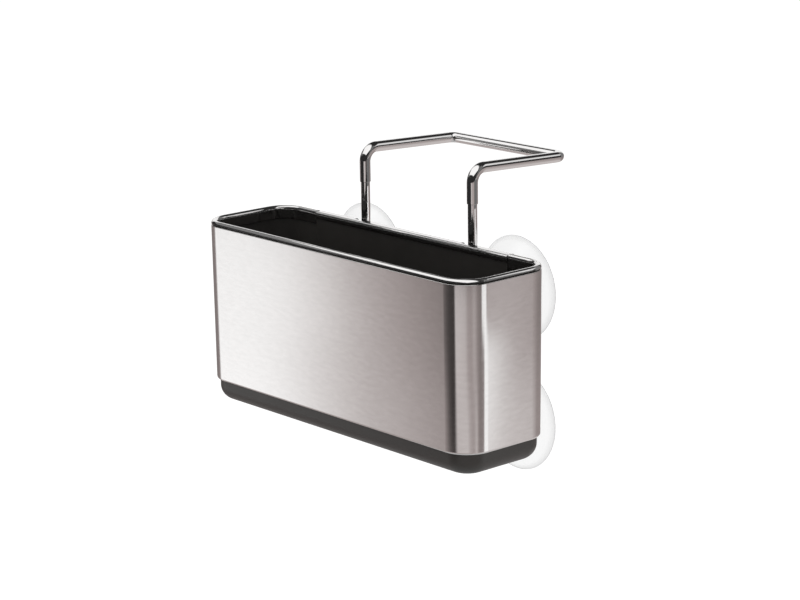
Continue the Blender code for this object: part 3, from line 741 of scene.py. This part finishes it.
# Azimuth in degrees, from -Y over +X, and the tone there
HIGH_TONES = (
    (-160, 0.30), (-138, 0.70), (-100, 0.24), (-72, 0.32), (-64, 1.32), (-56, 1.31), (-53, 1.30),
    (-50.5, 1.24), (-48.5, 1.10), (-46.5, 0.91), (-44.5, 0.69), (-42.5, 0.57), (-40, 0.45),
    (-34, 0.20), (-20, 0.11), (-6, 0.07), (10, 0.06), (15, 0.74), (36, 0.70), (46, 0.66), (55, 0.48),
    (65, 0.46), (74, 0.58), (79, 0.50), (85, 0.36), (96, 0.27), (118, 0.44), (126, 0.62),
    (129.5, 0.53), (135, 0.48), (156, 0.34), (180, 0.28),
)
LOW_TONES = (
    (-160, 0.38), (-138, 0.70), (-100, 0.24), (-72, 0.34), (-64, 1.38), (-54, 1.38), (-52.5, 1.28),
    (-50.5, 1.10), (-48.6, 0.93), (-46.7, 0.77), (-44.7, 0.66), (-42.7, 0.64), (-41, 0.53),
    (-37, 0.39), (-28, 0.29), (-13, 0.12), (-1, 0.06), (7, 0.06), (18, 0.72), (52, 0.74), (60, 0.58),
    (67, 0.50), (73, 0.48), (82, 0.68), (87, 0.42), (92, 0.30), (102, 0.31),
    (127, 0.82), (129.5, 0.75), (135, 0.68), (157, 0.42), (180, 0.38),
)
DEEP_TONES = ((-180, 0.75), (-110, 0.6), (-60, 0.48), (60, 0.45), (110, 0.75), (180, 0.75))
# Bright leaning strip: azimuths of its two edges at its upper and its lower level
STRIP_TONE = 1.28
STRIP_LEVELS = (-0.06, -0.10)
STRIP_LEFT = (99.0, 109.0)
STRIP_RIGHT = (116.0, 125.5)
STRIP_SOFTNESS = (2.5, 4.0)

# Dome round the studio. Its cards lie between edges in X / Z and Y / Z of their direction, with a softness
# and a strength
DOME_RADIUS = 3.0
DOME_DARK = 0.03
DOME_FLOOR = 0.62
DOME_FLOOR_EDGE = (-0.5, -0.3)
DOME_SEGMENTS = 64
DOME_RINGS = 32
LEAST_HEIGHT = 0.001
OVERHEAD = ((-1.7, 1.6), (-1.3, 0.1), 0.12, 1.35)
REAR_TOP = ((0.55, 2.1), (0.92, 2.0), 0.12, 1.0)
# Cards near the horizon lie between azimuths from +Y over +X and slopes
REAR_LEFT = ((-80, -20), (0.04, 0.65), 0.06, 1.1)
REAR_RIGHT = ((-10, 30), (-0.1, 0.8), 0.08, 0.25)
REAR_SIDE_SOFTNESS = math.radians(6)
# Dark upright cards between two corners, with their tone: before the wire's legs, before the rail, beside
# the legs, at the left for the rim's left part, and at the right for the rim's right end
FLAGS = (
    ((-0.02, -0.035, 0.077), (0.054, -0.035, 0.112), 0.03),
    ((-0.075, -0.035, 0.077), (-0.041, -0.035, 0.112), 0.03),
    ((-0.119, -0.035, 0.069), (0.09, -0.035, 0.0755), 0.03),
    ((0.056, -0.02, 0.086), (0.056, -0.009, 0.104), 0.2),
    ((-0.039, -0.02, 0.086), (-0.039, -0.009, 0.104), 0.2),
    ((-0.33, -0.36, 0.17), (-0.33, -0.06, 0.32), 0.25),
    ((0.3, 0.04, 0.1), (0.3, 0.16, 0.5), 0.2),
)

# Cards up to one tone are warm, then they turn neutral over a range of tones
WARM_TONE = 0.45
NEUTRAL_RANGE = 0.85
NEUTRAL_CURVE = 0.7
GREEN_LACK = 0.135
BLUE_LACK = 0.02

# Strength of the room's light from the sides and from above
ROOM_SIDE = 1.0
ROOM_TOP = 0.45
FLOOR_SIZE = 6.0
FLOOR_DROP = 0.25
FLOOR_TONE = 0.8
FLOOR_LIFT = 0.65
# Place, size and power
KEY_LIGHT = ((-0.9, -1.3, 1.4), (0.9, 0.9), 8.0)
SIDE_LIGHT = ((1.2, 0.1, -0.1), (0.6, 0.35), 2.0)

# The camera, as fitted to the photograph's edges
AIM = (0.026672, -0.05755, 0.035301)
VIEW_AZIMUTH = math.radians(48.486)
VIEW_ELEVATION = math.radians(14.061)
VIEW_ROLL = math.radians(-0.806)
VIEW_DISTANCE = 1.400785
FOCAL_PIXELS = 2404.493
IMAGE_WIDTH = 800
SENSOR_WIDTH = 36.0
NEAREST_SEEN = 0.05


def card_colour(tone):
    """Middle tones of the studio are a little warm, light ones are neutral."""
    coolness = min(max((tone - WARM_TONE) / NEUTRAL_RANGE, 0.0), 1.0) ** NEUTRAL_CURVE
    green = 1 - GREEN_LACK + GREEN_LACK * coolness
    return (tone, tone * green, tone * (green - BLUE_LACK * (1 - coolness)))


def azimuth_tone(tree, azimuth, tones):
    """Tone of the studio round the object."""
    ramp = add_node(tree, "ShaderNodeValToRGB")
    elements = ramp.color_ramp.elements
    while len(elements) > 1:
        elements.remove(elements[-1])
    for index, (degrees, tone) in enumerate(tones):
        position = (degrees + 180) / 360
        element = elements[0] if index == 0 else elements.new(position)
        element.position = position
        element.color = (*[value / RING_STRENGTH for value in card_colour(tone)], 1.0)
    tree.links.new(mapped(tree, azimuth, 0.0, 1.0, -math.pi, math.pi), ramp.inputs["Fac"])
    return ramp.outputs["Color"]


def card_object(name, edit, material):
    """Card that only shows in reflections."""
    mesh = bpy.data.meshes.new(name)
    edit.to_mesh(mesh)
    edit.free()
    mesh.materials.append(material)
    card = bpy.data.objects.new(name, mesh)
    card.location = RING_CENTRE
    bpy.context.scene.collection.objects.link(card)
    card.visible_camera = False
    card.visible_diffuse = False
    card.visible_transmission = False
    card.visible_shadow = False


def glow_material(name):
    material = bpy.data.materials.new(name)
    material.use_nodes = True
    tree = material.node_tree
    tree.nodes.remove(tree.nodes["Principled BSDF"])
    glow = add_node(tree, "ShaderNodeEmission")
    tree.links.new(glow.outputs["Emission"], tree.nodes["Material Output"].inputs["Surface"])
    return material, tree, glow


def ring_card():
    """Open round wall about the object, up to the table's far edge."""
    edit = bmesh.new()
    columns = []
    for step in range(RING_STEPS):
        azimuth = 2 * math.pi * step / RING_STEPS
        place = Vector((RING_RADIUS * math.sin(azimuth), -RING_RADIUS * math.cos(azimuth), 0))
        right_side = 0 < azimuth < math.pi
        top = Vector((0, 0, HORIZON_RIGHT if right_side else HORIZON_LEFT))
        columns.append((edit.verts.new(place + Vector((0, 0, TABLE_BOTTOM))), edit.verts.new(place + top)))
    for step in range(RING_STEPS):
        here, following = columns[step], columns[(step + 1) % RING_STEPS]
        edit.faces.new((here[0], following[0], following[1], here[1]))
    return edit


def soft_band(tree, value, low, high, softness):
    """1 between two values that are numbers or sockets, with soft edges."""
    rise = combined(tree, "DIVIDE", combined(tree, "SUBTRACT", value, low), float(softness))
    fall = combined(tree, "DIVIDE", combined(tree, "SUBTRACT", high, value), float(softness))
    inside = combined(tree, "MINIMUM", rise, fall)
    return mapped(tree, inside, 0.0, 1.0, -0.5, 0.5)


def leaning_strip(tree, azimuth, height):
    """Share of the bright strip, whose edges move with height."""
    edges = []
    for upper, lower in (STRIP_LEFT, STRIP_RIGHT):
        edges.append(mapped(
            tree, height, math.radians(upper), math.radians(lower), STRIP_LEVELS[0], STRIP_LEVELS[1]
        ))
    left_share = soft_band(tree, azimuth, edges[0], math.pi, math.radians(STRIP_SOFTNESS[0]))
    right_share = soft_band(tree, azimuth, 0.0, edges[1], math.radians(STRIP_SOFTNESS[1]))
    return combined(tree, "MULTIPLY", left_share, right_share)


def make_table_glow():
    """What the lower studio shows in the metal: a table and the things round it."""
    material, tree, glow = glow_material("table_glow")
    place = add_node(tree, "ShaderNodeSeparateXYZ")
    tree.links.new(add_node(tree, "ShaderNodeTexCoord").outputs["Object"], place.inputs["Vector"])
    front = combined(tree, "MULTIPLY", place.outputs["Y"], -1.0)
    azimuth = combined(tree, "ARCTAN2", place.outputs["X"], front)
    mix = add_node(tree, "ShaderNodeMix", data_type="RGBA")
    tree.links.new(azimuth_tone(tree, azimuth, HIGH_TONES), mix.inputs["A"])
    tree.links.new(azimuth_tone(tree, azimuth, LOW_TONES), mix.inputs["B"])
    level = mapped(tree, place.outputs["Z"], 0.0, 1.0, TONE_LEVEL_HIGH, TONE_LEVEL_LOW)
    tree.links.new(level, mix.inputs["Factor"])
    strip = add_node(tree, "ShaderNodeMix", data_type="RGBA")
    tree.links.new(mix.outputs["Result"], strip.inputs["A"])
    strip.inputs["B"].default_value = (*[value / RING_STRENGTH for value in card_colour(STRIP_TONE)], 1.0)
    tree.links.new(leaning_strip(tree, azimuth, place.outputs["Z"]), strip.inputs["Factor"])
    deep = add_node(tree, "ShaderNodeMix", data_type="RGBA")
    tree.links.new(strip.outputs["Result"], deep.inputs["A"])
    tree.links.new(azimuth_tone(tree, azimuth, DEEP_TONES), deep.inputs["B"])
    tree.links.new(mapped(tree, place.outputs["Z"], 0.0, 1.0, *DEEP_LEVELS), deep.inputs["Factor"])
    tree.links.new(deep.outputs["Result"], glow.inputs["Color"])
    glow.inputs["Strength"].default_value = RING_STRENGTH
    card_object("table_glow", ring_card(), material)


def make_flags():
    """Dark cards that keep the bright studio off parts of the wire and the rim."""
    for number, (first, second, tone) in enumerate(FLAGS):
        material, _, glow = glow_material(f"flag_glow_{number}")
        glow.inputs["Strength"].default_value = tone
        low, high = (Vector(corner) - Vector(RING_CENTRE) for corner in (first, second))
        edit = bmesh.new()
        edit.faces.new([edit.verts.new(corner) for corner in (
            low, (high.x, high.y, low.z), high, (low.x, low.y, high.z)
        )])
        card_object(f"flag_{number}", edit, material)


def make_dome():
    """What the upper studio shows in the metal: dark walls, softboxes and cards behind."""
    material, tree, glow = glow_material("dome_glow")
    direction = add_node(tree, "ShaderNodeVectorMath", operation="NORMALIZE")
    tree.links.new(add_node(tree, "ShaderNodeTexCoord").outputs["Object"], direction.inputs[0])
    place = add_node(tree, "ShaderNodeSeparateXYZ")
    tree.links.new(direction.outputs["Vector"], place.inputs["Vector"])
    x, y, z = place.outputs["X"], place.outputs["Y"], place.outputs["Z"]
    raised = combined(tree, "MAXIMUM", z, LEAST_HEIGHT)
    across = combined(tree, "DIVIDE", x, raised)
    along = combined(tree, "DIVIDE", y, raised)
    tone = mapped(tree, z, DOME_FLOOR, DOME_DARK, *DOME_FLOOR_EDGE)
    for sides, depths, softness, strength in (OVERHEAD, REAR_TOP):
        card = combined(
            tree, "MULTIPLY",
            soft_band(tree, across, *sides, softness), soft_band(tree, along, *depths, softness),
        )
        tone = combined(tree, "MAXIMUM", tone, combined(tree, "MULTIPLY", card, strength))
    azimuth = combined(tree, "ARCTAN2", x, y)
    level = combined(tree, "SQRT", combined(tree, "SUBTRACT", 1.0, combined(tree, "MULTIPLY", z, z)), 0.0)
    slope = combined(tree, "DIVIDE", z, level)
    for sides, slopes, softness, strength in (REAR_LEFT, REAR_RIGHT):
        low, high = (math.radians(value) for value in sides)
        card = combined(
            tree, "MULTIPLY",
            soft_band(tree, azimuth, low, high, REAR_SIDE_SOFTNESS), soft_band(tree, slope, *slopes, softness),
        )
        tone = combined(tree, "MAXIMUM", tone, combined(tree, "MULTIPLY", card, strength))
    tree.links.new(tone, glow.inputs["Strength"])
    edit = bmesh.new()
    bmesh.ops.create_uvsphere(edit, u_segments=DOME_SEGMENTS, v_segments=DOME_RINGS, radius=DOME_RADIUS)
    card_object("dome_glow", edit, material)


def background_rays(tree):
    """1 for rays that should meet the white background, seen straight, in metal or through the cups."""
    rays = add_node(tree, "ShaderNodeLightPath")
    seen = combined(tree, "MAXIMUM", rays.outputs["Is Camera Ray"], rays.outputs["Is Glossy Ray"])
    return combined(tree, "MAXIMUM", seen, rays.outputs["Is Transmission Ray"])


def make_world():
    world = bpy.data.worlds.new("studio_world")
    world.use_nodes = True
    tree = world.node_tree
    backdrop = tree.nodes["Background"]
    backdrop.inputs["Color"].default_value = (1, 1, 1, 1)
    backdrop.inputs["Strength"].default_value = 1.0
    room = add_node(tree, "ShaderNodeBackground")
    place = add_node(tree, "ShaderNodeSeparateXYZ")
    tree.links.new(add_node(tree, "ShaderNodeTexCoord").outputs["Generated"], place.inputs["Vector"])
    tree.links.new(mapped(tree, place.outputs["Z"], ROOM_SIDE, ROOM_TOP, 0.0, 1.0), room.inputs["Strength"])
    mix = add_node(tree, "ShaderNodeMixShader")
    tree.links.new(background_rays(tree), mix.inputs["Fac"])
    tree.links.new(room.outputs["Background"], mix.inputs[1])
    tree.links.new(backdrop.outputs["Background"], mix.inputs[2])
    tree.links.new(mix.outputs["Shader"], tree.nodes["World Output"].inputs["Surface"])
    bpy.context.scene.world = world


def make_floor():
    """Pale floor below the hanging object. It shows white and keeps the soft shadow."""
    edit = bmesh.new()
    bmesh.ops.create_grid(edit, x_segments=1, y_segments=1, size=FLOOR_SIZE)
    mesh = bpy.data.meshes.new("floor")
    edit.to_mesh(mesh)
    edit.free()
    material, tree, shader = new_material("floor_white")
    shader.inputs["Base Color"].default_value = (FLOOR_TONE, FLOOR_TONE, FLOOR_TONE, 1)
    shader.inputs["Roughness"].default_value = 1.0
    shader.inputs["Specular IOR Level"].default_value = 0.0
    lift = combined(tree, "MULTIPLY", background_rays(tree), FLOOR_LIFT)
    shader.inputs["Emission Color"].default_value = (1, 1, 1, 1)
    tree.links.new(lift, shader.inputs["Emission Strength"])
    mesh.materials.append(material)
    floor = bpy.data.objects.new("floor", mesh)
    floor.location = (0, 0, CAD_BOX[0][2] - FLOOR_DROP)
    bpy.context.scene.collection.objects.link(floor)
    floor.visible_glossy = False


def area_light(name, place, size, power):
    light = bpy.data.lights.new(name, "AREA")
    light.shape = "RECTANGLE"
    light.size, light.size_y = size
    light.energy = power
    lamp = bpy.data.objects.new(name, light)
    lamp.location = place
    lamp.rotation_euler = (Vector(AIM) - Vector(place)).to_track_quat("-Z", "Y").to_euler()
    lamp.visible_glossy = False
    bpy.context.scene.collection.objects.link(lamp)


def make_camera():
    data = bpy.data.cameras.new("camera")
    data.sensor_width = SENSOR_WIDTH
    data.lens = FOCAL_PIXELS * SENSOR_WIDTH / IMAGE_WIDTH
    data.clip_start = NEAREST_SEEN
    camera = bpy.data.objects.new("camera", data)
    level = math.cos(VIEW_ELEVATION)
    back = Vector((math.sin(VIEW_AZIMUTH) * level, -math.cos(VIEW_AZIMUTH) * level, math.sin(VIEW_ELEVATION)))
    right = Vector((math.cos(VIEW_AZIMUTH), math.sin(VIEW_AZIMUTH), 0))
    up = back.cross(right)
    rolled_right = right * math.cos(VIEW_ROLL) + up * math.sin(VIEW_ROLL)
    rolled_up = up * math.cos(VIEW_ROLL) - right * math.sin(VIEW_ROLL)
    matrix = Matrix((rolled_right, rolled_up, back)).transposed().to_4x4()
    matrix.translation = Vector(AIM) + back * VIEW_DISTANCE
    camera.matrix_world = matrix
    bpy.context.scene.collection.objects.link(camera)
    bpy.context.scene.camera = camera


def make_caddy():
    brushed = metal(
        "brushed_stainless", colour=(0.715, 0.705, 0.70), worn_colour=(0.635, 0.625, 0.62),
        roughness=(0.12, 0.16), anisotropy=0.6, line_scale=(140.0, 400.0, 1.0), bump_strength=0.5,
    )
    satin = metal(
        "satin_stainless", colour=(0.72, 0.71, 0.705), worn_colour=(0.64, 0.63, 0.625),
        roughness=(0.11, 0.14), anisotropy=0.5, line_scale=(10.0, 1500.0, 1.0), bump_strength=0.03,
    )
    polished = metal(
        "polished_stainless", colour=(0.72, 0.71, 0.705), worn_colour=(0.66, 0.65, 0.645),
        roughness=(0.07, 0.1), anisotropy=0.1, line_scale=(10.0, 1500.0, 1.0), bump_strength=0.004,
    )
    dark = moulded_plastic(
        "dark_grey_plastic", colour=(0.028, 0.026, 0.024), light_colour=(0.04, 0.037, 0.034), roughness=(0.34, 0.46)
    )
    vinyl = clear_vinyl("clear_vinyl", lip_distance())
    make_sleeve(brushed)
    make_inner_bin(dark)
    make_rim(satin)
    make_rail(satin)
    make_wire(polished)
    make_cups(vinyl)
    make_rivets(polished)
    plate = refined_copy("pressed_plate", "hanger_plate", brushed, "hanger", 0.0002)
    plate.data.set_sharp_from_angle(angle=PLATE_SHARP_ANGLE)
    for side in ("left", "right"):
        refined_copy("moulded_bracket_" + side, "bracket_" + side, dark, "hanger", 0.0003)
        refined_copy("leg_clip_" + side, "leg_stop_" + side, dark, "support", 0.0003)


make_caddy()
make_table_glow()
make_flags()
make_dome()
make_world()
make_floor()
area_light("key_light", *KEY_LIGHT)
area_light("side_light", *SIDE_LIGHT)
make_camera()

bpy.context.scene.view_settings.view_transform = "Standard"
